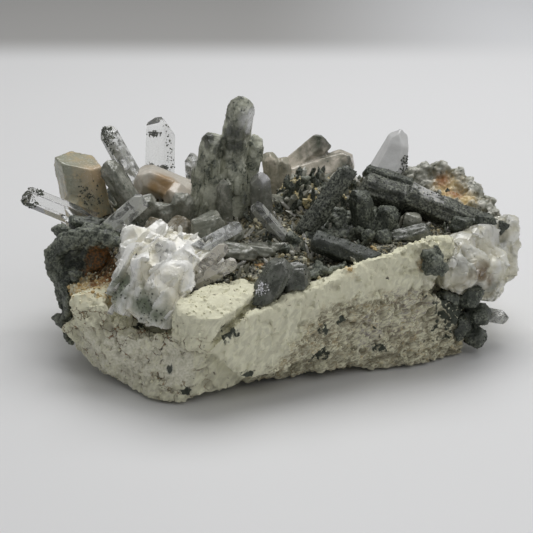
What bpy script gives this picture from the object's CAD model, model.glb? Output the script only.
"""Fine surfaces and finishes for a chlorite and quartz crystal cluster on its rock.

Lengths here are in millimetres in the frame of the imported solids, +X right, +Y away from the
viewer and +Z up, and MM turns them into metres. Each solid gets a piece that follows it with an
even, fine mesh, moved in and out for grain, chips, ribs and knobs. Small crystals and grains
too many for solids are joined meshes that sit on the rock and on the larger crystals.
"""

import math
import random

import bmesh
import bpy
import numpy as np
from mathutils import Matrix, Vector, noise
from mathutils.bvhtree import BVHTree


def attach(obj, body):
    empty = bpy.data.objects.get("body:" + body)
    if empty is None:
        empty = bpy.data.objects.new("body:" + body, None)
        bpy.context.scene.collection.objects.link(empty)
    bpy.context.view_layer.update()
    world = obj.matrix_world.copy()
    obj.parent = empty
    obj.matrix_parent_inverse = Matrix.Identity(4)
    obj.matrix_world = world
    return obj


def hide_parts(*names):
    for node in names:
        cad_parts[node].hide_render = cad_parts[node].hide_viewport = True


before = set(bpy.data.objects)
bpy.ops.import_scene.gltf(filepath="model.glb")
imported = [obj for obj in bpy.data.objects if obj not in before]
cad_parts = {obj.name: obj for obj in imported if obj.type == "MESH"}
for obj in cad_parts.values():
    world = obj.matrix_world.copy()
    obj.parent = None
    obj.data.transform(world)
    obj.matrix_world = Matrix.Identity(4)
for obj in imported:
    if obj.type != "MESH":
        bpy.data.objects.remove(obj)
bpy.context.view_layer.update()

MM = 0.001

# Camera: what it looks at, from how far and how high, and its lens on a 36 mm sensor
TARGET = (-2.6, 3.2, 30.0)
DISTANCE = 600.0
ELEVATION = 20.0
LENS = 101.3

# Even meshes: size of a cell on each kind of piece
ROCK_CELL = 0.9
MASS_CELL = 0.55
CRYSTAL_CELL = 0.53

# Gap under the rock's front edge: how high it is and how far it reaches in
GAP_HEIGHT = 1.2
GAP_DEPTH = 10.0

# Rim of the long front slab, from left to right: x, y and how wide its bare edge is
RIM = ((-18, -68, 2.0), (-10, -63, 2.0), (9, -50, 3.0), (24, -42, 5.0), (39, -37, 9.0),
       (57, -27, 15.0), (71, -21, 13.0))
# Bare tops of the squared slab beside it, the cream block and the shelf at the left
SLAB_TOP = ((-38, -64), (-34, -58), (-28, -48), (-11, -40), (-3, -45), (-8, -57), (-14, -68),
            (-19, -72), (-26, -73), (-33, -71))
BLOCK_TOP = ((-79, -40), (-75, -32), (-66, -34), (-59, -42), (-59, -52), (-66, -52), (-78, -43))
SHELF = ((-82, -20), (-75, -33), (-66, -35), (-58, -40), (-54, -26), (-66, -14))

CLEAR_NODES = ("clear_upright_crystal", "dark_tip_crystal", "capped_clear_crystal",
               "clear_edge_crystal", "bright_clear_crystal", "ribbed_clear_crystal",
               "clear_quartz_spray", "lower_right_quartz_tips", "small_back_crystals")
STAINED_NODES = ("orange_block_crystal", "pale_pink_crystal", "back_pink_tips",
                 "back_pink_crystals", "brown_grey_crystals", "white_point_crystal")
GREY_NODES = ("tall_crystal_bundle", "plate_crystal", "grey_needle_crystals",
              "pale_face_crystal", "grey_ribbed_crystals", "grey_cap_crystals",
              "lying_grey_crystals", "small_grey_crystals")
DARK_NODES = ("leaning_dark_crystal", "dark_crystal_knot", "long_block_crystals",
              "small_lying_crystal", "front_lying_crystal", "short_dark_crystals",
              "finger_crystals", "front_dark_crystals", "oval_dark_crystal",
              "blocky_dark_crystals", "left_lying_crystal", "lower_right_dark_crystals",
              "back_left_crystals", "back_right_crystals", "back_middle_crystals")
CRUST_NODES = ("left_chlorite_crust", "back_chlorite_crust", "middle_chlorite_crust",
               "right_chlorite_knob", "front_chlorite_crust")

# Markings on the rock, each a centre and a radius
DARK_MARKS = (((17.4, -46.4, 12.5), 3.6), ((24.9, -46.9, 26.8), 1.7), ((18.9, -50.1, 24.6), 2.0),
              ((-9.7, -64.0, 12.7), 1.7), ((-32.2, -63.6, 5.3), 1.9), ((-38.3, -62.4, 13.9), 1.6),
              ((-15.6, -66.6, 30.6), 2.8), ((-49.4, -46.7, 23.1), 2.2), ((70, -22, 22), 9.0),
              ((66, -26, 32), 4.0), ((-62, -44, 22), 1.8), ((40, -37, 12), 2.2))
QUARTZ_MARKS = (((-52.8, -53.8, 16.2), 13.0), ((-36, -62, 16), 9.0), ((64, -27, 34), 8.0),
                ((-66, -40, 12), 10.0), ((-30, 62, 22), 14.0), ((60, 50, 20), 12.0))
VIOLET_MARKS = (((51.7, -32.3, 27.4), 10.0), ((-35.7, -62.3, 17.8), 4.5), ((36, -38, 20), 8.0))
OCHRE_MARKS = (((-69.5, -28.9, 34.2), 12.0), ((-7.0, -26.8, 39.5), 4.0),
               ((39.4, -17.9, 44.4), 3.0), ((28, -40, 43), 3.0), ((-60, -38, 33), 5.0),
               ((56, -28, 42), 3.0), ((21, 27, 50), 5.0))
RUST_MARKS = (((-64, -24, 36), 6.0), ((-49, -50, 25), 1.4), ((-5, -24, 40), 1.6))
HOLLOW_MARKS = (((-65.0, -19.0, 38.0), 8.0), ((-66.7, -17.4, 42.0), 5.0))

# Chlorite grains on and in the clear and stained crystals
CAP_MARKS = (((-97.0, 6.0, 58.5), 4.5), ((-92.5, 8.0, 60.0), 3.0), ((-95.0, 4.5, 55.0), 3.0))
DARK_TIP_MARKS = (((-70.3, 48.8, 74.0), 4.2), ((-69.3, 46.8, 70.5), 3.2),
                  ((-67.6, 46.5, 66.0), 1.8))
BAND_MARKS = (((-43.6, 50.3, 76.0), 1.6), ((-43.8, 50.2, 72.5), 1.6), ((-43.8, 50.0, 69.0), 1.8),
              ((-43.6, 50.0, 65.0), 1.6), ((-43.5, 49.9, 61.5), 1.8), ((-43.5, 49.8, 57.5), 2.2),
              ((-53.5, 50.0, 57.5), 1.8))
BLOCK_SPECKS = (((-74.6, 17.7, 55.4), 6.0), ((-70.0, 18.0, 53.0), 4.0))
POINT_MARKS = (((57.0, 49.0, 60.0), 3.5), ((55.5, 48.0, 55.0), 4.0), ((58, 50, 66), 1.6))
MILKY_MARKS = (((-46.5, -58.1, 37.5), 5.5), ((-56.0, -49.7, 40.2), 5.5), ((-42, -59, 34), 4.0))
RIGHT_MARKS = (((79.8, -19.9, 35.3), 4.0), ((73.0, -22.0, 36.0), 3.0), ((84.0, -13.0, 30.0), 2.5))
RIGHT_DARK_MARKS = (((72.0, -21.0, 41.0), 4.0), ((94.0, 0.0, 41.0), 3.0), ((86.0, -12.0, 27.0), 3.0))
TALL_DARK_MARKS = (((-14.8, 18.4, 78.0), 6.0), ((-19.5, 18.0, 73.0), 3.0),
                   ((-3.0, 22.0, 67.0), 4.0), ((-26.0, 19.0, 79.0), 3.0))
WINDOW_MARKS = (((-8.8, 21.4, 86.0), 3.8),)
PALE_FACE_MARKS = (((-1.5, 12.0, 66.0), 4.0),)
LONG_BLOCK_MARKS = (((61.5, 11.4, 59.0), 4.5), ((64.5, 11.4, 57.5), 3.5))
SPARKLE_MARKS = (((-4.9, -53.9, 42.5), 3.6),)
INSIDE_MARKS = (((-49.6, 52.6, 71.6), 2.5), ((-51.0, 51.5, 57.8), 1.9), ((-46.8, 51.5, 57.2), 1.9))


# Numbers

def ease(value, low, high):
    """0 at low and 1 at high, eased between them."""
    share = min(max((value - low) / (high - low), 0.0), 1.0)
    return share * share * (3 - 2 * share)


def nearness(place, marks):
    """1 at the middle of any mark, falling through 0.5 at its radius."""
    best = 0.0
    for centre, radius in marks:
        best = max(best, 1.0 - 0.5 * (place - Vector(centre)).length / radius)
    return best


def waves(place, size, octaves=3):
    """Fractal noise, about -1 to 1, with bumps of this size."""
    return noise.fractal(place / size, 1.0, 2.0, octaves)


def knobs(place, size):
    """Round grains of this size with creases between them, 0 in a crease and 1 on a grain."""
    nearest = noise.voronoi(place / size)[0][0]
    return max(0.0, 1.0 - 1.6 * nearest * nearest)


def chips(place, size, groove=0.25):
    """Flat chips of this size with a groove round each, -1 in the groove and 0 on a chip."""
    distances = noise.voronoi(place / size)[0]
    return min(distances[1] - distances[0], groove) / groove - 1.0


def ridges(place, size):
    """Sharp crests of this size, about -1 to 1."""
    return noise.ridged_multi_fractal(place / size, 1.0, 2.0, 3, 1.0, 2.0) - 1.0


def facets(place, size):
    """Flat broken facets of this size, each with its own tilt, about -1 to 1."""
    spot = place / size
    middle = noise.voronoi(spot)[1][0]
    tilt = noise.cell_vector(middle * 37.0) - Vector((0.5, 0.5, 0.5))
    return (spot - middle).dot(tilt) * 3.4


def stretched(place, along, ratio):
    """The place with its distance along a direction shrunk, so that noise there runs long."""
    return place - along * (place.dot(along) * (1 - 1 / ratio))


def inside(outline, place):
    """True where a place is inside an outline seen from above."""
    found = False
    for (x0, y0), (x1, y1) in zip(outline, outline[1:] + outline[:1]):
        if (y0 > place.y) != (y1 > place.y):
            if place.x < x0 + (place.y - y0) * (x1 - x0) / (y1 - y0):
                found = not found
    return found


def behind_rim(place):
    """How far a place is behind the front rim's bare edge; below 0 on the edge."""
    xs, ys, widths = zip(*RIM)
    return place.y - np.interp(place.x, xs, ys) - np.interp(place.x, xs, widths) * 1.2


def on_bed(place, normal):
    """True on the rock's upper side among the crystals, where it isn't bare rock."""
    if place.z < 30 or normal.z < 0.3:
        return False
    wander = Vector((waves(place, 5.0, 2), waves(place + Vector((50, 0, 0)), 5.0, 2), 0)) * 2.0
    place = place + wander
    if inside(SLAB_TOP, place) or inside(BLOCK_TOP, place) or inside(SHELF, place):
        return False
    if place.x > 84:
        return place.y > 0
    return behind_rim(place) > 0


# Meshes

def solid_mesh(node_name):
    """A node's mesh with its corners joined and flat faces whole."""
    bm = bmesh.new()
    bm.from_mesh(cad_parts[node_name].data)
    bmesh.ops.remove_doubles(bm, verts=bm.verts, dist=1e-6)
    return bm


def whole_faces(bm):
    """Join triangles that lie in one plane."""
    bmesh.ops.dissolve_limit(bm, angle_limit=math.radians(1.0), verts=bm.verts, edges=bm.edges)


def new_piece(name, bm):
    """An object in the scene for a mesh being built."""
    mesh = bpy.data.meshes.new(name)
    bm.to_mesh(mesh)
    bm.free()
    obj = bpy.data.objects.new(name, mesh)
    bpy.context.scene.collection.objects.link(obj)
    return obj


def apply_modifiers(obj):
    """Bake the object's modifiers into its mesh."""
    bpy.context.view_layer.update()
    depsgraph = bpy.context.evaluated_depsgraph_get()
    mesh = bpy.data.meshes.new_from_object(obj.evaluated_get(depsgraph))
    obj.modifiers.clear()
    obj.data = mesh


def even_copy(node_name, cell, smoothing=0):
    """A piece that follows a node, with an even mesh."""
    obj = new_piece(node_name + "_surface", solid_mesh(node_name))
    even = obj.modifiers.new("even", "REMESH")
    even.mode = "VOXEL"
    even.voxel_size = cell * MM
    if smoothing:
        soften = obj.modifiers.new("soften", "SMOOTH")
        soften.iterations = smoothing
        soften.factor = 0.5
    apply_modifiers(obj)
    obj.data.shade_smooth()
    return obj


def sharp_copy(node_name, edge=0.3):
    """A piece that follows a clear crystal, flat-faced, with slightly worn edges."""
    bm = solid_mesh(node_name)
    whole_faces(bm)
    obj = new_piece(node_name + "_surface", bm)
    bevel = obj.modifiers.new("worn_edges", "BEVEL")
    bevel.width = edge * MM
    bevel.segments = 2
    bevel.limit_method = "ANGLE"
    bevel.angle_limit = math.radians(15)
    apply_modifiers(obj)
    return obj


def places_and_normals(mesh):
    """The vertices' places in millimetres, and their normals."""
    count = len(mesh.vertices)
    places = np.empty(count * 3)
    mesh.vertices.foreach_get("co", places)
    normals = np.empty(count * 3)
    mesh.vertices.foreach_get("normal", normals)
    return places.reshape(-1, 3) / MM, normals.reshape(-1, 3)


def store(mesh, name, values):
    """Keep a number on every vertex of a mesh, for its material."""
    made = mesh.attributes.new(name, "FLOAT", "POINT")
    made.data.foreach_set("value", np.array(values, dtype=np.float32))


def carve(obj, relief):
    """Move each vertex along its normal by relief(place, normal), and keep that height."""
    places, normals = places_and_normals(obj.data)
    heights = np.array([relief(Vector(p), Vector(n)) for p, n in zip(places, normals)])
    moved = (places + normals * heights[:, None]) * MM
    moved[:, 2] = np.maximum(moved[:, 2], 0.0)
    obj.data.vertices.foreach_set("co", moved.ravel())
    obj.data.update()
    store(obj.data, "relief", heights)


def undercut(rock):
    """Lift the rock's lower front edge off the floor, so that a dark gap runs under it."""
    places = places_and_normals(rock.data)[0]
    columns = np.round(places[:, 0]).astype(int)
    columns -= columns.min()
    low = places[:, 2] < 2 * GAP_HEIGHT
    front = np.full(columns.max() + 1, np.inf)
    np.minimum.at(front, columns[low], places[low, 1])
    inset = places[:, 1] - front[columns]
    lifted = GAP_HEIGHT * (1 - inset / GAP_DEPTH)
    places[:, 2] = np.where(low, np.maximum(places[:, 2], lifted), places[:, 2])
    rock.data.vertices.foreach_set("co", (places * MM).ravel())
    rock.data.update()


def prism_relief(node_name, rib, depth, grain, bump_height, swell):
    """Relief for a crystal: ribs along each prism face, grains on it, and slow swells."""
    bm = solid_mesh(node_name)
    whole_faces(bm)
    bm.faces.ensure_lookup_table()
    runs = []
    for face in bm.faces:
        edge = max(face.edges, key=lambda e: e.calc_length())
        runs.append((edge.verts[1].co - edge.verts[0].co).normalized())
    tree = BVHTree.FromBMesh(bm)
    bm.free()

    def relief(place, normal):
        run = runs[tree.find_nearest(place * MM)[2]]
        height = waves(stretched(place, run, 8.0), rib, 2) * depth
        height += (knobs(place, grain) - 0.6) * bump_height
        height += (knobs(place, grain * 0.5) - 0.6) * bump_height * 0.4
        return height + waves(place, 5.0, 2) * swell

    return relief


def hackly_share(place):
    """How hackly the rock is: most low down at the right of the front."""
    along = ease(place.x - (34 - place.z) * -0.9, 8, 26)
    return along * ease(38 - place.z, 0, 8) * ease(-place.y, 0, 15)


def crumbly_share(place):
    """How cracked and crumbly the rock is: low down at the left, and round the back."""
    left = ease(-20 - place.x, 0, 8) * ease(33 - place.z, 0, 5)
    return max(left, ease(place.y, -20, 0) * ease(40 - place.z, 0, 8))


def knobby_share(place):
    """How knobby the cream rock is: most at the right end of the front rim."""
    return ease(place.x, 40, 50) * ease(74 - place.x, 0, 6) * ease(place.z, 35, 41)


def rock_relief(place, normal):
    """Relief of the rock: crumbly tops, streaked breaks, hackly lower right, grainy bed."""
    height = waves(place, 9.0, 3) * 0.5 + waves(place, 1.8, 2) * 0.25
    if on_bed(place, normal):
        return height + (knobs(place, 2.3) - 0.5) * 1.1
    height += chips(place, 6.5) * 0.2 + facets(place, 4.5) * 0.50 + facets(place, 2.2) * 0.22
    height += ease(normal.z, 0.2, 0.7) * (knobs(place, 2.0) - 0.5) * 0.45
    height += knobby_share(place) * ridges(place, 3.0) * 1.2
    hackly = hackly_share(place)
    crumbly = crumbly_share(place)
    lean = Vector((0.93, 0.0, 0.36))
    height += hackly * ridges(stretched(place, lean, 2.6), 2.2) * 1.1
    height += hackly * chips(stretched(place, lean, 2.2), 2.4, 0.35) * 0.6
    height += hackly * facets(stretched(place, lean, 1.8), 3.2) * 0.8
    height += crumbly * (facets(place, 8.0) * 0.5 + chips(place, 7.0, 0.12) * 0.35)
    height += crumbly * facets(place, 2.6) * 0.35
    return height


def milky_relief(place, normal):
    """Relief of the milky quartz: long glassy shards that lean to the right."""
    lean = Vector((0.55, 0.25, 0.80)).normalized()
    long_place = stretched(place, lean, 3.0)
    return (facets(long_place, 6.5) * 1.3 + facets(long_place, 3.0) * 0.3
            + waves(place, 8.0, 2) * 0.5)


def lump_relief(place, normal):
    """Relief of the glassy right-hand quartz: lumps with broken faces."""
    return (facets(place, 8.0) * 0.9 + facets(place, 3.4) * 0.25 + waves(place, 9.0, 2) * 0.8
            + waves(place, 2.4, 2) * 0.08)


def crust_relief(place, normal):
    """Relief of a chlorite crust: knobs on knobs."""
    return ((knobs(place, 3.4) - 0.5) * 1.2 + (knobs(place, 1.5) - 0.5) * 0.6
            + waves(place, 1.1, 2) * 0.15)


def ridge_relief(place, normal):
    """Relief of the knobby ridge: lumps and small sugary crystals."""
    return ((knobs(place, 4.5) - 0.5) * 1.3 + (knobs(place, 1.8) - 0.5) * 0.7
            + facets(place, 2.6) * 0.5)


# Materials

def new_material(name):
    """An empty Principled material: the material, its nodes and its shader."""
    mat = bpy.data.materials.new(name)
    mat.use_nodes = True
    tree = mat.node_tree
    return mat, tree, tree.nodes["Principled BSDF"]


def node(tree, kind, inputs, **settings):
    """Add a node, set it up, and link or set its inputs."""
    made = tree.nodes.new(kind)
    for key, value in settings.items():
        setattr(made, key, value)
    for key, value in inputs.items():
        if isinstance(value, bpy.types.NodeSocket):
            tree.links.new(value, made.inputs[key])
        else:
            made.inputs[key].default_value = value
    return made


def place_in_mm(tree):
    """The point on the surface in millimetres."""
    where = node(tree, "ShaderNodeTexCoord", {})
    scaled = node(tree, "ShaderNodeVectorMath", {0: where.outputs["Object"], 3: 1 / MM},
                  operation="SCALE")
    return scaled.outputs[0]


def speckle(tree, place, size, detail=3.0, warp=0.0):
    """Noise from 0 to 1 with features of this size in millimetres."""
    made = node(tree, "ShaderNodeTexNoise",
                {"Vector": place, "Scale": 1 / size, "Detail": detail, "Distortion": warp})
    return made.outputs[0]


def between(tree, value, low, high, out_low=0.0, out_high=1.0):
    """The value eased from out_low at low to out_high at high."""
    made = node(tree, "ShaderNodeMapRange", {0: value, 1: low, 2: high, 3: out_low, 4: out_high},
                interpolation_type="SMOOTHSTEP")
    return made.outputs[0]


def combine(tree, first, second, operation="MULTIPLY"):
    """Two values combined and kept between 0 and 1."""
    made = node(tree, "ShaderNodeMath", {0: first, 1: second}, operation=operation,
                use_clamp=True)
    return made.outputs[0]


def blend(tree, share, first, second):
    """The first colour, giving way to the second as the share goes to 1."""
    made = node(tree, "ShaderNodeMix", {0: share, 6: first, 7: second}, data_type="RGBA")
    return made.outputs[2]


def colour(red, green, blue):
    """A colour with full cover."""
    return (red, green, blue, 1.0)


def attribute(tree, name):
    """A number stored on the mesh."""
    return node(tree, "ShaderNodeAttribute", {}, attribute_name=name).outputs["Fac"]


def ragged(tree, mask, texture, soft=0.14, reach=1.8):
    """A mask whose edge is broken up by a texture."""
    shifted = node(tree, "ShaderNodeMath", {0: texture, 1: reach, 2: -reach / 2},
                   operation="MULTIPLY_ADD").outputs[0]
    total = node(tree, "ShaderNodeMath", {0: mask, 1: shifted}, operation="ADD").outputs[0]
    return between(tree, total, 0.5 - soft, 0.5 + soft)


def patches(tree, place, spots, texture, soft=0.2, reach=1.6):
    """Ragged round patches. Each spot is a centre and a radius in millimetres."""
    total = 0.0
    for centre, radius in spots:
        apart = node(tree, "ShaderNodeVectorMath", {0: place, 1: centre},
                     operation="DISTANCE").outputs["Value"]
        depth = node(tree, "ShaderNodeMath", {0: apart, 1: -0.5 / radius, 2: 1.0},
                     operation="MULTIPLY_ADD").outputs[0]
        total = combine(tree, depth, total, "MAXIMUM")
    return ragged(tree, total, texture, soft, reach)


def cracks(tree, place, size, width):
    """Thin crooked cracks round blocks of this size, 1 in a crack."""
    wander = node(tree, "ShaderNodeTexNoise", {"Vector": place, "Scale": 2 / size, "Detail": 3.0})
    shifted = node(tree, "ShaderNodeVectorMath",
                   {0: wander.outputs["Color"], 1: (size, size, size), 2: place},
                   operation="MULTIPLY_ADD").outputs[0]
    edge = node(tree, "ShaderNodeTexVoronoi", {"Vector": shifted, "Scale": 1 / size},
                feature="DISTANCE_TO_EDGE").outputs["Distance"]
    return between(tree, edge, 0.0, width / size, 1.0, 0.0)


def drawn_out(tree, place, angle, ratio):
    """The place squeezed along a line tilted up from +X, so that noise there runs long."""
    made = node(tree, "ShaderNodeMapping",
                {"Vector": place, "Rotation": (0.0, -math.radians(angle), 0.0),
                 "Scale": (ratio, 1.0, 1.0)}, vector_type="TEXTURE")
    return made.outputs[0]


def weathered(tree, body, hollow_tone, crest_tone, depth=0.8, share=0.8):
    """Tint hollows and crests by the carved height, full at this depth in millimetres."""
    relief = attribute(tree, "relief")
    body = blend(tree, between(tree, relief, -depth, -depth * 0.1, share, 0.0), body, hollow_tone)
    return blend(tree, between(tree, relief, depth * 0.1, depth, 0.0, share), body, crest_tone)


def bump(tree, shader, height, depth, strength=1.0):
    """Small relief on the shader, its depth in millimetres."""
    made = node(tree, "ShaderNodeBump", {"Height": height, "Distance": depth * MM,
                                         "Strength": strength})
    tree.links.new(made.outputs[0], shader.inputs["Normal"])


CHLORITE_DARK = colour(0.020, 0.024, 0.018)
CHLORITE_MID = colour(0.09, 0.102, 0.076)
CHLORITE_PALE = colour(0.27, 0.286, 0.225)
GREY_DARK = colour(0.052, 0.055, 0.042)
GREY_MID = colour(0.20, 0.20, 0.165)
GREY_PALE = colour(0.47, 0.46, 0.41)
OLIVE = colour(0.15, 0.12, 0.050)
BROWN = colour(0.075, 0.055, 0.025)
RUST = colour(0.30, 0.13, 0.035)
OCHRE = colour(0.50, 0.33, 0.13)
CREAM = colour(0.71, 0.69, 0.515)
BEIGE = colour(0.80, 0.785, 0.60)
ROCK_GREY = colour(0.61, 0.595, 0.455)
QUARTZ_WHITE = colour(0.78, 0.755, 0.63)
VIOLET_GREY = colour(0.30, 0.275, 0.265)
UMBER = colour(0.25, 0.225, 0.16)
YELLOW_STAIN = colour(0.50, 0.40, 0.22)
BED_GREY = colour(0.33, 0.32, 0.255)


def chlorite_material(name, dark=CHLORITE_DARK, mid=CHLORITE_MID, pale=CHLORITE_PALE,
                      blotch=4.0, pale_share=0.4, gloss=0.45, spots=(), spot_tone=BROWN,
                      second_tone=RUST):
    """Fine-grained chlorite: dark creases, mid grains, pale dust on some of them."""
    mat, tree, shader = new_material(name)
    place = place_in_mm(tree)
    fine = speckle(tree, place, 0.8, 3.0)
    broad = speckle(tree, place, blotch, 4.0, 0.6)
    body = blend(tree, between(tree, fine, 0.28, 0.66), dark, mid)
    dust = combine(tree, between(tree, fine, 0.48, 0.66, 0.0, 0.75),
                   between(tree, broad, 0.68 - pale_share * 0.5, 0.85 - pale_share * 0.5))
    body = blend(tree, dust, body, pale)
    body = blend(tree, between(tree, broad, 0.36, 0.50, 0.6, 0.0), body, dark)
    body = weathered(tree, body, dark, pale, 0.7, 0.5)
    if spots:
        stain = patches(tree, place, spots, broad)
        body = blend(tree, stain, body, blend(tree, between(tree, fine, 0.4, 0.65), spot_tone,
                                              second_tone))
    tree.links.new(body, shader.inputs["Base Color"])
    tree.links.new(between(tree, fine, 0.3, 0.7, gloss - 0.15, gloss + 0.25),
                   shader.inputs["Roughness"])
    bump(tree, shader, fine, 0.35, 0.8)
    return mat


def glass_material(name, tint, cloud, cloud_share, roughness=0.04, speck_share=0.0, haze=0.10,
                   ior=1.544):
    """Clear quartz with clouded stretches, and fine chlorite specks where asked."""
    mat, tree, shader = new_material(name)
    place = place_in_mm(tree)
    broad = speckle(tree, place, 4.0, 4.0, 0.8)
    fine = speckle(tree, place, 0.8, 3.0)
    veil = between(tree, broad, 0.80 - cloud_share, 1.05 - cloud_share, haze, 0.85)
    base = blend(tree, veil, tint, cloud)
    solid = veil
    if speck_share:
        flecks = between(tree, fine, 0.72 - speck_share, 0.78 - speck_share)
        base = blend(tree, flecks, base, CHLORITE_MID)
        solid = combine(tree, flecks, veil, "MAXIMUM")
    tree.links.new(base, shader.inputs["Base Color"])
    tree.links.new(between(tree, solid, 0.0, 1.0, 1.0, 0.0), shader.inputs["Transmission Weight"])
    tree.links.new(between(tree, solid, haze, 1.0, roughness, 0.5), shader.inputs["Roughness"])
    shader.inputs["IOR"].default_value = ior
    bump(tree, shader, speckle(tree, place, 2.2, 2.0), 0.15, 0.35)
    return mat


def quartz_material(name, base, second, blotch, dust_share, marks=(), gloss=0.25, clearness=0.0,
                    hollow=None, crest=None):
    """Clouded quartz of two tones, dusted with chlorite. Each mark is its spots and its tone."""
    mat, tree, shader = new_material(name)
    place = place_in_mm(tree)
    broad = speckle(tree, place, blotch, 4.0, 0.7)
    fine = speckle(tree, place, 1.0, 3.0)
    body = blend(tree, between(tree, broad, 0.36, 0.62), base, second)
    body = blend(tree, between(tree, fine, 0.42, 0.68, 0.0, 0.5), body, second)
    if hollow:
        body = weathered(tree, body, hollow, crest or base, 1.0, 0.7)
    dust = combine(tree, between(tree, fine, 0.66 - dust_share, 0.80 - dust_share),
                   between(tree, speckle(tree, place, 4.5, 3.0), 0.40, 0.62))
    body = blend(tree, dust, body, CHLORITE_MID)
    for spots, tone in marks:
        body = blend(tree, patches(tree, place, spots, broad, 0.45, 1.2), body, tone)
    tree.links.new(body, shader.inputs["Base Color"])
    tree.links.new(between(tree, dust, 0.0, 1.0, gloss, 0.6), shader.inputs["Roughness"])
    tree.links.new(between(tree, dust, 0.0, 1.0, clearness, 0.0),
                   shader.inputs["Transmission Weight"])
    shader.inputs["IOR"].default_value = 1.544
    bump(tree, shader, fine, 0.2, 0.6)
    return mat


def rock_material():
    """Pale rock: cream tops, beige breaks, white quartz, hackly streaks, cracks, rust and
    chlorite, and the grainy olive bed that the crystals stand in."""
    mat, tree, shader = new_material("pale_rock_fine")
    place = place_in_mm(tree)
    fine = speckle(tree, place, 0.9, 3.0)
    medium = speckle(tree, place, 3.2, 5.0, 0.4)
    broad = speckle(tree, place, 11.0, 5.0, 0.8)
    streak = speckle(tree, drawn_out(tree, place, 24.0, 3.0), 0.9, 4.0, 0.8)
    sweep = speckle(tree, drawn_out(tree, place, 55.0, 4.0), 1.8, 4.0, 0.8)
    body = blend(tree, between(tree, sweep, 0.34, 0.66), BEIGE, ROCK_GREY)
    body = blend(tree, between(tree, broad, 0.46, 0.60, 0.0, 0.7), body, CREAM)
    white = blend(tree, between(tree, fine, 0.36, 0.64), QUARTZ_WHITE, ROCK_GREY)
    body = blend(tree, ragged(tree, attribute(tree, "quartz"), medium), body, white)
    sugar = blend(tree, between(tree, fine, 0.42, 0.72), CREAM, BEIGE)
    body = blend(tree, ragged(tree, attribute(tree, "cream"), medium, 0.2), body, sugar)
    recess = blend(tree, ragged(tree, attribute(tree, "violet"), medium, 0.3), UMBER, VIOLET_GREY)
    hackly = blend(tree, between(tree, streak, 0.30, 0.62), recess, CREAM)
    seams = combine(tree, cracks(tree, drawn_out(tree, place, 24.0, 2.5), 2.6, 0.30),
                    between(tree, broad, 0.36, 0.60, 0.1, 0.8))
    hackly = blend(tree, seams, hackly,
                   blend(tree, between(tree, medium, 0.4, 0.6), BROWN, YELLOW_STAIN))
    body = blend(tree, ragged(tree, attribute(tree, "hackly"), medium, 0.35), body, hackly)
    yellow = blend(tree, between(tree, medium, 0.38, 0.6), OCHRE, CREAM)
    body = blend(tree, ragged(tree, attribute(tree, "ochre"), medium, 0.2), body, yellow)
    body = weathered(tree, body, UMBER, CREAM, 1.5, 0.6)
    lines = combine(tree, cracks(tree, place, 7.0, 0.28),
                    combine(tree, attribute(tree, "crumbly"), between(tree, broad, 0.42, 0.58)))
    body = blend(tree, lines, body, blend(tree, between(tree, fine, 0.40, 0.6), BROWN, RUST))
    flecks = combine(tree, between(tree, fine, 0.66, 0.74), attribute(tree, "crumbly"))
    body = blend(tree, flecks, body, CHLORITE_MID)
    olive = blend(tree, between(tree, medium, 0.42, 0.58), OLIVE, BED_GREY)
    bed = blend(tree, between(tree, fine, 0.38, 0.58), CHLORITE_DARK, olive)
    body = blend(tree, ragged(tree, attribute(tree, "bed"), medium, 0.1, 0.6), body, bed)
    body = blend(tree, ragged(tree, attribute(tree, "rust"), medium, 0.25), body, RUST)
    body = blend(tree, ragged(tree, attribute(tree, "hollow"), medium, 0.3), body,
                 blend(tree, between(tree, fine, 0.45, 0.68), BROWN, RUST))
    body = blend(tree, ragged(tree, attribute(tree, "dark"), medium, 0.1, 2.4), body,
                 blend(tree, fine, CHLORITE_DARK, CHLORITE_MID))
    tree.links.new(body, shader.inputs["Base Color"])
    tree.links.new(between(tree, attribute(tree, "quartz"), 0.3, 0.9, 0.85, 0.35),
                   shader.inputs["Roughness"])
    rough = combine(tree, fine, combine(tree, medium, streak, "ADD"), "ADD")
    rough = node(tree, "ShaderNodeMath", {0: lines, 1: -0.6, 2: rough},
                 operation="MULTIPLY_ADD").outputs[0]
    bump(tree, shader, rough, 0.7, 1.0)
    return mat


def cream_share(place, normal):
    """How bare and cream the rock is: most on the slabs' tops and rims."""
    top = ease(normal.z, 0.15, 0.6)
    if place.y > 10 or place.z < 26:
        return 0.35 * top
    return 0.3 + 0.7 * top


def mark_rock(rock):
    """Store the rock's zones on its mesh."""
    places, normals = places_and_normals(rock.data)
    points = [(Vector(p), Vector(n)) for p, n in zip(places, normals)]
    store(rock.data, "bed", [1.0 if on_bed(p, n) else 0.0 for p, n in points])
    store(rock.data, "cream", [cream_share(p, n) for p, n in points])
    store(rock.data, "hackly", [hackly_share(p) for p, _ in points])
    store(rock.data, "crumbly", [crumbly_share(p) for p, _ in points])
    for name, marks in (("dark", DARK_MARKS), ("quartz", QUARTZ_MARKS),
                        ("violet", VIOLET_MARKS), ("ochre", OCHRE_MARKS), ("rust", RUST_MARKS),
                        ("hollow", HOLLOW_MARKS)):
        store(rock.data, name, [nearness(p, marks) for p, _ in points])


# Pieces that follow the solids

def dress(obj, node_name, material):
    """Put a piece in place of its node, with its material."""
    obj.data.materials.clear()
    obj.data.materials.append(material)
    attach(obj, "root")
    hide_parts(node_name)
    return obj


def make_rock():
    """The rock with its fine relief and its zones."""
    rock = even_copy("matrix_rock", ROCK_CELL, 2)
    carve(rock, rock_relief)
    undercut(rock)
    rock.data.set_sharp_from_angle(angle=math.radians(32))
    mark_rock(rock)
    return dress(rock, "matrix_rock", rock_material())


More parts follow.
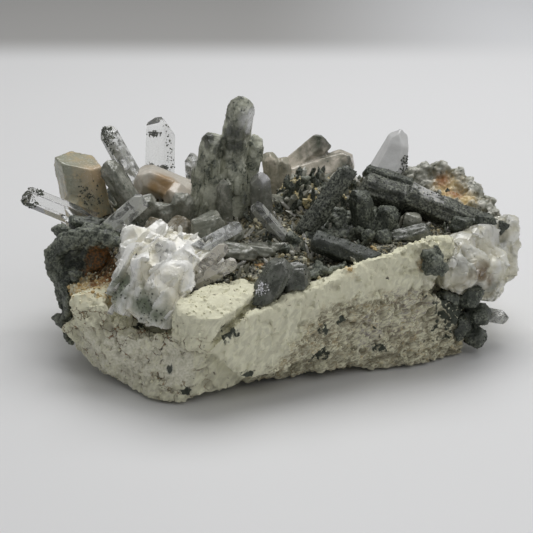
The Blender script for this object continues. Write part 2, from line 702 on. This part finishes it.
def make_mass(node_name, cell, smoothing, relief, material, edge_angle=180):
    """A rough mass with its own relief, its edges sharp where they turn more than an angle."""
    mass = even_copy(node_name, cell, smoothing)
    carve(mass, relief)
    mass.data.set_sharp_from_angle(angle=math.radians(edge_angle))
    return dress(mass, node_name, material)


def make_masses():
    """The milky quartz, the chlorite crusts and the yellow-centred ridge."""
    milky = quartz_material("milky_quartz_fine", colour(0.97, 0.965, 0.91),
                            colour(0.91, 0.88, 0.76), 7.0, 0.02,
                            ((MILKY_MARKS, colour(0.20, 0.23, 0.16)),), 0.12, 0.10,
                            colour(0.84, 0.80, 0.64), colour(0.98, 0.98, 0.95))
    right = quartz_material("right_quartz_fine", colour(0.94, 0.935, 0.86),
                            colour(0.84, 0.81, 0.65), 8.0, 0.03,
                            ((RIGHT_MARKS, colour(0.20, 0.13, 0.055)),
                             (RIGHT_DARK_MARKS, colour(0.16, 0.17, 0.13))), 0.10, 0.35,
                            colour(0.62, 0.57, 0.42), colour(0.97, 0.97, 0.94))
    pieces = [make_mass("left_milky_quartz", MASS_CELL, 2, milky_relief, milky,
                        24),
              make_mass("right_milky_quartz", MASS_CELL, 4, lump_relief, right,
                        24)]
    crust = chlorite_material("crust_chlorite", mid=colour(0.125, 0.142, 0.108), pale_share=0.85,
                              gloss=0.5, spots=HOLLOW_MARKS)
    for node_name in CRUST_NODES:
        pieces.append(make_mass(node_name, CRYSTAL_CELL, 2, crust_relief, crust))
    ridge = quartz_material("ridge_quartz_fine", colour(0.50, 0.49, 0.43),
                            colour(0.27, 0.275, 0.22), 4.0, 0.14,
                            (((((73.0, 39.0, 51.0), 6.0), ((80.0, 33.0, 48.0), 4.0)),
                              colour(0.62, 0.47, 0.22)),
                             ((((71.0, 42.0, 54.0), 3.0), ((76.0, 36.0, 50.0), 2.5)), RUST)),
                            0.4, 0.0, colour(0.13, 0.12, 0.085), colour(0.66, 0.645, 0.57))
    pieces.append(make_mass("yellow_centred_ridge", CRYSTAL_CELL, 1, ridge_relief, ridge))
    return {piece.name: piece for piece in pieces}


def make_prisms(names, smoothing, relief_sizes, look):
    """Crystals with ribs and grains, each with its material from look(name)."""
    pieces = {}
    for node_name in names:
        crystal = even_copy(node_name, CRYSTAL_CELL, smoothing)
        carve(crystal, prism_relief(node_name, *relief_sizes))
        pieces[node_name] = dress(crystal, node_name, look(node_name))
    return pieces


def stained_looks():
    """Materials of the clouded crystals stained beige, pink and orange."""
    return {
        "orange_block_crystal": quartz_material(
            "orange_block_fine", colour(0.62, 0.50, 0.30), colour(0.46, 0.44, 0.32), 6.0, 0.14,
            (((((-70.0, 21.0, 66.0), 7.0),), colour(0.78, 0.58, 0.37)),
             ((((-84.0, 20.0, 66.0), 7.0), ((-74.0, 24.0, 70.0), 5.0)), colour(0.38, 0.39, 0.30))),
            0.2, 0.2),
        "pale_pink_crystal": quartz_material(
            "pale_pink_fine", colour(0.76, 0.71, 0.62), colour(0.68, 0.62, 0.53), 9.0, 0.02,
            (((((-44.6, 34.3, 55.4), 4.5), ((-49.0, 34.0, 54.0), 3.0)),
              colour(0.50, 0.33, 0.16)),), 0.2, 0.2),
        "back_pink_tips": quartz_material(
            "back_tips_fine", colour(0.68, 0.61, 0.49), colour(0.42, 0.40, 0.31), 4.0, 0.10,
            gloss=0.2, clearness=0.2),
        "back_pink_crystals": quartz_material(
            "back_pink_fine", colour(0.88, 0.80, 0.68), colour(0.66, 0.61, 0.50), 5.0, 0.08,
            (((((22.0, 58.0, 68.0), 7.0), ((32.0, 52.0, 58.0), 4.0), ((14.0, 56.0, 63.5), 3.0)),
              colour(0.10, 0.11, 0.08)),), 0.14, 0.3),
        "brown_grey_crystals": quartz_material(
            "brown_grey_fine", colour(0.44, 0.41, 0.34), colour(0.18, 0.15, 0.095), 4.0, 0.12,
            gloss=0.2, clearness=0.15),
        "white_point_crystal": quartz_material(
            "white_point_fine", colour(0.95, 0.95, 0.94), colour(0.86, 0.86, 0.85), 12.0, 0.0,
            gloss=0.22, clearness=0.35),
    }


def dark_looks():
    """Materials of the crystals thick with chlorite; the long blocks have a pale stretch."""
    looks = {}
    for name in DARK_NODES:
        looks[name] = chlorite_material(name + "_fine", pale_share=0.5, gloss=0.40)
    looks["leaning_dark_crystal"] = chlorite_material(
        "leaning_fine", mid=colour(0.13, 0.138, 0.115), pale_share=0.65, gloss=0.35)
    looks["front_lying_crystal"] = chlorite_material(
        "front_lying_fine", mid=colour(0.060, 0.068, 0.056), pale=colour(0.16, 0.17, 0.145),
        pale_share=0.4, gloss=0.45)
    looks["long_block_crystals"] = chlorite_material(
        "long_block_fine", mid=colour(0.12, 0.125, 0.10), pale_share=0.65, gloss=0.40,
        spots=LONG_BLOCK_MARKS, spot_tone=colour(0.42, 0.42, 0.42), second_tone=GREY_PALE)
    for name in ("front_dark_crystals", "oval_dark_crystal"):
        looks[name] = quartz_material(name + "_fine", colour(0.20, 0.205, 0.18),
                                      colour(0.075, 0.08, 0.065), 4.0, 0.20, gloss=0.2,
                                      clearness=0.1, hollow=CHLORITE_DARK, crest=GREY_PALE)
    return looks


def grey_looks():
    """Materials of the half-clear crystals full of chlorite dust."""
    looks = {}
    for name in GREY_NODES:
        looks[name] = quartz_material(name + "_fine", colour(0.50, 0.50, 0.43),
                                      colour(0.22, 0.225, 0.18), 5.0, 0.16, gloss=0.16,
                                      clearness=0.25, hollow=colour(0.13, 0.13, 0.10),
                                      crest=colour(0.62, 0.62, 0.56))
    looks["tall_crystal_bundle"] = quartz_material(
        "tall_bundle_fine", colour(0.70, 0.71, 0.58), colour(0.38, 0.39, 0.30), 4.5, 0.26,
        ((TALL_DARK_MARKS, colour(0.055, 0.06, 0.045)), (WINDOW_MARKS, colour(1.0, 1.0, 1.0))),
        0.16, 0.2, colour(0.15, 0.155, 0.115), colour(0.74, 0.74, 0.66))
    looks["pale_face_crystal"] = quartz_material(
        "pale_face_fine", colour(0.42, 0.42, 0.37), colour(0.22, 0.225, 0.19), 6.0, 0.10,
        ((PALE_FACE_MARKS, colour(0.66, 0.65, 0.67)),), 0.14, 0.25)
    return looks


def glass_looks():
    """Materials of the clear crystals."""
    water = colour(0.97, 0.975, 0.965)
    return {
        "clear_upright_crystal": glass_material("upright_glass", water,
                                                colour(0.93, 0.935, 0.93), 0.05, haze=0.20,
                                                ior=1.30),
        "dark_tip_crystal": glass_material("dark_tip_glass", water, colour(0.34, 0.345, 0.30),
                                           0.40, 0.06, 0.06),
        "capped_clear_crystal": glass_material("capped_glass", water,
                                               colour(0.62, 0.59, 0.58), 0.20, 0.04),
        "clear_edge_crystal": glass_material("edge_glass", water, colour(0.26, 0.265, 0.22),
                                             0.46, 0.08, 0.10),
        "bright_clear_crystal": glass_material("bright_glass", water,
                                               colour(0.62, 0.63, 0.62), 0.40, 0.05, 0.02),
        "ribbed_clear_crystal": glass_material("ribbed_glass", water,
                                               colour(0.42, 0.425, 0.38), 0.44, 0.06, 0.06),
        "clear_quartz_spray": glass_material("spray_glass", colour(0.96, 0.94, 0.90),
                                             colour(0.52, 0.49, 0.41), 0.45, 0.06, 0.02),
        "lower_right_quartz_tips": glass_material("tips_glass", water,
                                                  colour(0.40, 0.40, 0.35), 0.44, 0.06, 0.10),
        "small_back_crystals": glass_material("small_back_glass", water,
                                              colour(0.38, 0.385, 0.34), 0.44, 0.06, 0.10),
    }


def make_glass():
    """Clear crystals."""
    looks = glass_looks()
    return {name: dress(sharp_copy(name), name, looks[name])
            for name in CLEAR_NODES}


# Small crystals and grains

def surface_spots(obj, count, seed, density):
    """Random places on a piece with their normals, kept as often as density says."""
    mesh = obj.data
    mesh.calc_loop_triangles()
    corners = np.empty(len(mesh.loop_triangles) * 3, dtype=np.int32)
    mesh.loop_triangles.foreach_get("vertices", corners)
    corners = places_and_normals(mesh)[0][corners.reshape(-1, 3)]
    cross = np.cross(corners[:, 1] - corners[:, 0], corners[:, 2] - corners[:, 0])
    areas = np.linalg.norm(cross, axis=1)
    picker = np.random.default_rng(seed)
    picked = picker.choice(len(areas), size=count, p=areas / areas.sum())
    shares = picker.dirichlet((1, 1, 1), size=count)
    spots = (corners[picked] * shares[:, :, None]).sum(axis=1)
    normals = cross[picked] / areas[picked][:, None]
    chances = picker.random(count)
    kept = []
    for spot, normal, chance in zip(spots, normals, chances):
        if chance < density(Vector(spot), Vector(normal)):
            kept.append((Vector(spot), Vector(normal)))
    return kept


def finish_small(name, mesh, material):
    """Turn a mesh of small things into a piece."""
    obj = bpy.data.objects.new(name, mesh)
    bpy.context.scene.collection.objects.link(obj)
    mesh.materials.append(material)
    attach(obj, "root")
    return obj


def grain_piece(name, spots, smallest, largest, material, seed):
    """Many rough grains as one piece, each half sunk in the surface it sits on."""
    bm = bmesh.new()
    bmesh.ops.create_icosphere(bm, subdivisions=1, radius=0.5)
    unit = np.array([v.co for v in bm.verts])
    faces = np.array([[v.index for v in f.verts] for f in bm.faces])
    bm.free()
    picker = np.random.default_rng(seed)
    count = len(spots)
    sizes = smallest + (largest - smallest) * picker.random(count) ** 2
    rough = unit[None] * picker.uniform(0.65, 1.25, (count, len(unit), 1))
    centres = np.array([spot + normal * size * 0.15
                        for (spot, normal), size in zip(spots, sizes)])
    verts = (centres[:, None, :] + rough * sizes[:, None, None]) * MM
    every_face = faces[None] + len(unit) * np.arange(count)[:, None, None]
    mesh = bpy.data.meshes.new(name)
    mesh.from_pydata(verts.reshape(-1, 3).tolist(), [], every_face.reshape(-1, 3).tolist())
    return finish_small(name, mesh, material)


def add_crystal(bm, root, along, length, width, rng):
    """Add one small six-sided crystal with a point to a mesh being built."""
    turn = along.to_track_quat("Z", "Y").to_matrix()
    shoulder = length - width * rng.uniform(0.5, 0.9)
    flat = rng.uniform(0.65, 1.0)
    rings = []
    for height, scale in ((-0.8 * width, 1.0), (shoulder, rng.uniform(0.75, 1.0))):
        ring = []
        for k in range(6):
            angle = math.radians(60 * k)
            spot = Vector((math.cos(angle), math.sin(angle) * flat, 0)) * (width / 2 * scale)
            spot.z = height + rng.uniform(-0.12, 0.12) * width
            ring.append(bm.verts.new((root + turn @ spot) * MM))
        rings.append(ring)
    side = Vector((rng.uniform(-0.2, 0.2), rng.uniform(-0.2, 0.2), 0)) * width
    tip = bm.verts.new((root + along * length + turn @ side) * MM)
    for k in range(6):
        after = (k + 1) % 6
        bm.faces.new((rings[0][k], rings[0][after], rings[1][after], rings[1][k]))
        bm.faces.new((rings[1][k], rings[1][after], tip))
    bm.faces.new(list(reversed(rings[0])))


def crystal_piece(name, spots, lengths, widths, along, spread, material, seed):
    """Many small crystals as one piece, grown along a direction or along the normals."""
    rng = random.Random(seed)
    bm = bmesh.new()
    for place, normal in spots:
        lean = Vector((rng.uniform(-1, 1), rng.uniform(-1, 1), rng.uniform(-0.4, 1.0)))
        way = ((along or normal) + lean * spread).normalized()
        add_crystal(bm, place, way, rng.uniform(*lengths), rng.uniform(*widths), rng)
    mesh = bpy.data.meshes.new(name)
    bm.to_mesh(mesh)
    bm.free()
    return finish_small(name, mesh, material)


def make_bed(rock):
    """The small crystals and grains between the large ones, on the bed."""
    def grainy(place, normal):
        return 1.0 if on_bed(place, normal) else 0.0

    def grown(place, normal):
        if not on_bed(place, normal):
            return 0.0
        return 0.2 + 0.8 * ease(behind_rim(place), 3, 14)

    def loose_rock(place, normal):
        if on_bed(place, normal) or place.z < 2:
            return 0.0
        return 0.04 + 0.96 * ease(normal.z, 0.35, 0.7)

    loose = chlorite_material("bed_chlorite", mid=colour(0.13, 0.125, 0.08), pale_share=0.7,
                              gloss=0.5)
    grain_piece("bed_chlorite_grains", surface_spots(rock, 14000, 11, grainy), 0.6, 1.9, loose,
                12)
    crumbs = quartz_material("cream_crumbs", CREAM, BEIGE, 3.0, 0.0, gloss=0.8)
    grain_piece("rock_crumbs", surface_spots(rock, 9000, 13, loose_rock), 0.4, 1.2, crumbs,
                14)
    sand = quartz_material("bed_sand", BEIGE, colour(0.42, 0.36, 0.21), 3.0, 0.06, gloss=0.6)
    grain_piece("bed_sand_grains",
                surface_spots(rock, 16000, 17, lambda p, n: grainy(p, n) * ease(
                    waves(p + Vector((0, 0, 90)), 7.0, 2), -0.05, 0.35)),
                0.6, 2.0, sand, 18)
    ochre = quartz_material("ochre_crumbs", OCHRE, colour(0.62, 0.50, 0.27), 2.0, 0.04, gloss=0.7)
    grain_piece("ochre_crumb_grains",
                surface_spots(rock, 16000, 15, lambda p, n: ease(nearness(p, OCHRE_MARKS), 0.4,
                                                                 0.8) * 0.8),
                0.6, 1.9, ochre, 16)
    dark = chlorite_material("bed_dark_crystal", pale_share=0.55, gloss=0.35)
    crystal_piece("bed_dark_crystals", surface_spots(rock, 900, 21, grown), (2.0, 5.5),
                  (1.3, 2.8), None, 0.9, dark, "dark")
    grey = quartz_material("bed_grey_crystal", colour(0.44, 0.43, 0.37),
                           colour(0.24, 0.235, 0.18), 3.0, 0.10, gloss=0.2, clearness=0.15)
    crystal_piece("bed_grey_crystals", surface_spots(rock, 1300, 22, grown), (2.0, 6.0),
                  (1.4, 3.0), None, 0.9, grey, "grey")
    pale = glass_material("bed_glass", colour(0.96, 0.95, 0.93), colour(0.50, 0.49, 0.43), 0.45,
                          0.06, 0.03)
    crystal_piece("bed_clear_crystals", surface_spots(rock, 900, 23, grown), (2.0, 6.0),
                  (1.2, 2.6), None, 0.9, pale, "clear")


def make_back_jumble(masses):
    """Small pale and dark crystals and yellow crumbs on the crust behind the middle."""
    crust = masses["back_chlorite_crust_surface"]
    pale = quartz_material("jumble_pale", colour(0.54, 0.54, 0.47), colour(0.28, 0.28, 0.22), 3.0,
                           0.10, gloss=0.2, clearness=0.15)
    crystal_piece("jumble_pale_crystals",
                  surface_spots(crust, 110, 61, lambda p, n: ease(n.z, -0.2, 0.5)), (2.0, 5.0),
                  (2.0, 4.4), None, 0.9, pale, "jumble pale")
    dark = chlorite_material("jumble_dark", pale_share=0.5, gloss=0.35)
    crystal_piece("jumble_dark_crystals",
                  surface_spots(crust, 70, 62, lambda p, n: ease(n.z, -0.2, 0.5)), (3.0, 6.0),
                  (2.2, 4.4), Vector((0.1, 0.0, 1.0)), 0.4, dark, "jumble dark")
    yellow = quartz_material("jumble_yellow", colour(0.60, 0.47, 0.20), colour(0.62, 0.56, 0.36),
                             3.0, 0.04, gloss=0.6)
    grain_piece("jumble_yellow_grains",
                surface_spots(crust, 2600, 63, lambda p, n: ease(waves(p, 5.0, 2), 0.05, 0.3)),
                0.8, 2.2, yellow, 64)


def make_coats(dark_pieces, grey_pieces, masses):
    """Chlorite grains over the dark crystals, and a few over the grey ones."""
    grain = chlorite_material("coat_chlorite", pale_share=0.6, gloss=0.45)
    spots = []
    for index, piece in enumerate(dark_pieces.values()):
        area = len(piece.data.polygons) * CRYSTAL_CELL ** 2
        spots += surface_spots(piece, int(area * 0.16), 100 + index, lambda p, n: 1.0)
    grain_piece("dark_crystal_grains", spots, 0.3, 0.8, grain, 31)
    light = chlorite_material("grey_coat_grain", GREY_DARK, GREY_MID, GREY_PALE, 3.0, 0.6, 0.3)
    spots = []
    for index, piece in enumerate(grey_pieces.values()):
        area = len(piece.data.polygons) * CRYSTAL_CELL ** 2
        spots += surface_spots(piece, int(area * 0.08), 130 + index,
                               lambda p, n: ease(waves(p, 4.0, 2), 0.0, 0.4))
    grain_piece("grey_crystal_grains", spots, 0.3, 0.8, light, 32)
    bundle = grey_pieces["tall_crystal_bundle"]
    spots = surface_spots(bundle, 70, 33, lambda p, n: ease(76 - p.z, 0, 12) * (n.z < 0.5))
    crystal_piece("tall_bundle_side_crystals", spots, (2.5, 6.5), (2.2, 4.2),
                  Vector((0.12, 0.05, 1.0)), 0.14, bundle.data.materials[0], "side")
    splinter = glass_material("splinter_quartz", colour(0.96, 0.955, 0.94),
                              colour(0.78, 0.77, 0.71), 0.50, 0.05)
    milky = masses["left_milky_quartz_surface"]
    spots = surface_spots(milky, 90, 34, lambda p, n: ease(n.z, 0.0, 0.6) * 0.8)
    crystal_piece("milky_quartz_splinters", spots, (1.5, 4.5), (1.8, 4.0),
                  Vector((0.55, 0.0, 0.8)), 0.5, splinter, "splinters")


def make_sparkle(dark):
    """A patch of tiny bright crystals on the front dark crystals."""
    bright = quartz_material("drusy_fine", colour(0.95, 0.95, 0.96), colour(0.80, 0.80, 0.84), 2.0,
                             0.0, gloss=0.05, clearness=0.2)
    spots = []
    for name in ("front_dark_crystals", "oval_dark_crystal"):
        spots += surface_spots(dark[name], 5000, 71,
                               lambda p, n: ease(nearness(p, SPARKLE_MARKS), 0.5, 0.9) * 0.8)
    grain_piece("drusy_sparkle", spots, 0.35, 0.9, bright, 72)


def make_inclusions(glass, stained, masses):
    """Chlorite grains on and in the clear crystals, and on the stained ones."""
    green = chlorite_material("inclusion_chlorite", colour(0.045, 0.052, 0.038),
                              colour(0.15, 0.16, 0.12), colour(0.33, 0.34, 0.28), 3.0, 0.4, 0.4)
    places = (
        (glass["capped_clear_crystal"], 1800, CAP_MARKS, 0.62),
        (glass["dark_tip_crystal"], 1800, DARK_TIP_MARKS, 0.60),
        (glass["clear_upright_crystal"], 1000, BAND_MARKS, 0.60),
        (stained["orange_block_crystal"], 4000, BLOCK_SPECKS, 1.10),
        (stained["white_point_crystal"], 1800, POINT_MARKS, 0.62),
        (masses["left_milky_quartz_surface"], 3600, MILKY_MARKS, 0.80),
    )
    spots = []
    for index, (piece, count, marks, full) in enumerate(places):
        def density(place, normal):
            return ease(nearness(place, marks) + waves(place, 2.0, 2) * 0.12, 0.45, full)
        spots += surface_spots(piece, count, 40 + index, density)
    rng = random.Random("inside")
    for centre, radius in INSIDE_MARKS:
        for _ in range(150):
            off = Vector((rng.gauss(0, 0.42), rng.gauss(0, 0.25), rng.gauss(0, 0.26))) * radius
            spots.append((Vector(centre) + off, Vector((0, 0, 0))))
    grain_piece("chlorite_on_clear_crystals", spots, 0.35, 1.1, green, 50)


# Floor, light and camera

def make_floor():
    """A pale paper floor, darker where it curves up far behind."""
    bm = bmesh.new()
    bmesh.ops.create_grid(bm, x_segments=1, y_segments=1, size=4.0)
    floor = new_piece("floor", bm)
    floor.location.z = -0.0002
    mat, tree, shader = new_material("floor_paper")
    split = node(tree, "ShaderNodeSeparateXYZ", {"Vector": place_in_mm(tree)})
    far = between(tree, split.outputs["Y"], 520.0, 620.0)
    side = between(tree, split.outputs["X"], -260.0, 260.0)
    near_tone = blend(tree, side, colour(0.665, 0.665, 0.665), colour(0.74, 0.74, 0.745))
    far_side = between(tree, split.outputs["X"], -30.0, 220.0)
    far_tone = blend(tree, far_side, colour(0.335, 0.33, 0.32), colour(0.68, 0.685, 0.695))
    tree.links.new(blend(tree, far, near_tone, far_tone), shader.inputs["Base Color"])
    shader.inputs["Roughness"].default_value = 0.6
    floor.data.materials.append(mat)


def make_light(name, place, size, power):
    """A soft lamp aimed at the cluster."""
    lamp = bpy.data.lights.new(name, "AREA")
    lamp.size = size
    lamp.energy = power
    obj = bpy.data.objects.new(name, lamp)
    obj.location = place
    aim = Vector((0, 0, 0.03)) - Vector(place)
    obj.rotation_euler = aim.to_track_quat("-Z", "Y").to_euler()
    bpy.context.scene.collection.objects.link(obj)


def make_studio():
    """A wide soft light overhead, weaker ones at the sides, and a dim surround."""
    make_light("overhead", (0.05, 0.44, 1.08), 0.9, 10.4)
    make_light("front_right", (0.45, -0.85, 1.00), 0.8, 2.7)
    make_light("left_side", (-1.5, 0.4, 0.7), 1.8, 3.2)
    make_light("right_side", (1.5, 0.2, 0.7), 1.8, 4.5)
    world = bpy.data.worlds.new("surround")
    bpy.context.scene.world = world
    world.use_nodes = True
    background = world.node_tree.nodes["Background"]
    background.inputs[0].default_value = (0.80, 0.81, 0.83, 1.0)
    background.inputs[1].default_value = 0.22
    bpy.context.scene.view_settings.view_transform = "Standard"


def make_camera():
    """The camera that took the picture, as far as its angle can be told."""
    data = bpy.data.cameras.new("camera")
    data.lens = LENS
    data.sensor_width = 36.0
    camera = bpy.data.objects.new("camera", data)
    height = math.radians(ELEVATION)
    back = Vector((0, -math.cos(height), math.sin(height)))
    camera.location = (Vector(TARGET) + back * DISTANCE) * MM
    camera.rotation_euler = (-back).to_track_quat("-Z", "Y").to_euler()
    bpy.context.scene.collection.objects.link(camera)
    bpy.context.scene.camera = camera


make_camera()
make_floor()
make_studio()
rock_piece = make_rock()
mass_pieces = make_masses()
dark_pieces = make_prisms(DARK_NODES, 2, (1.0, 0.32, 1.4, 0.09, 0.35), dark_looks().get)
grey_pieces = make_prisms(GREY_NODES, 0, (0.9, 0.32, 1.6, 0.08, 0.30), grey_looks().get)
stained_pieces = make_prisms(STAINED_NODES, 1, (1.2, 0.12, 2.0, 0.05, 0.22), stained_looks().get)
glass_pieces = make_glass()
make_bed(rock_piece)
make_back_jumble(mass_pieces)
make_coats(dark_pieces, grey_pieces, mass_pieces)
make_sparkle(dark_pieces)
make_inclusions(glass_pieces, stained_pieces, mass_pieces)

bpy.context.view_layer.update()
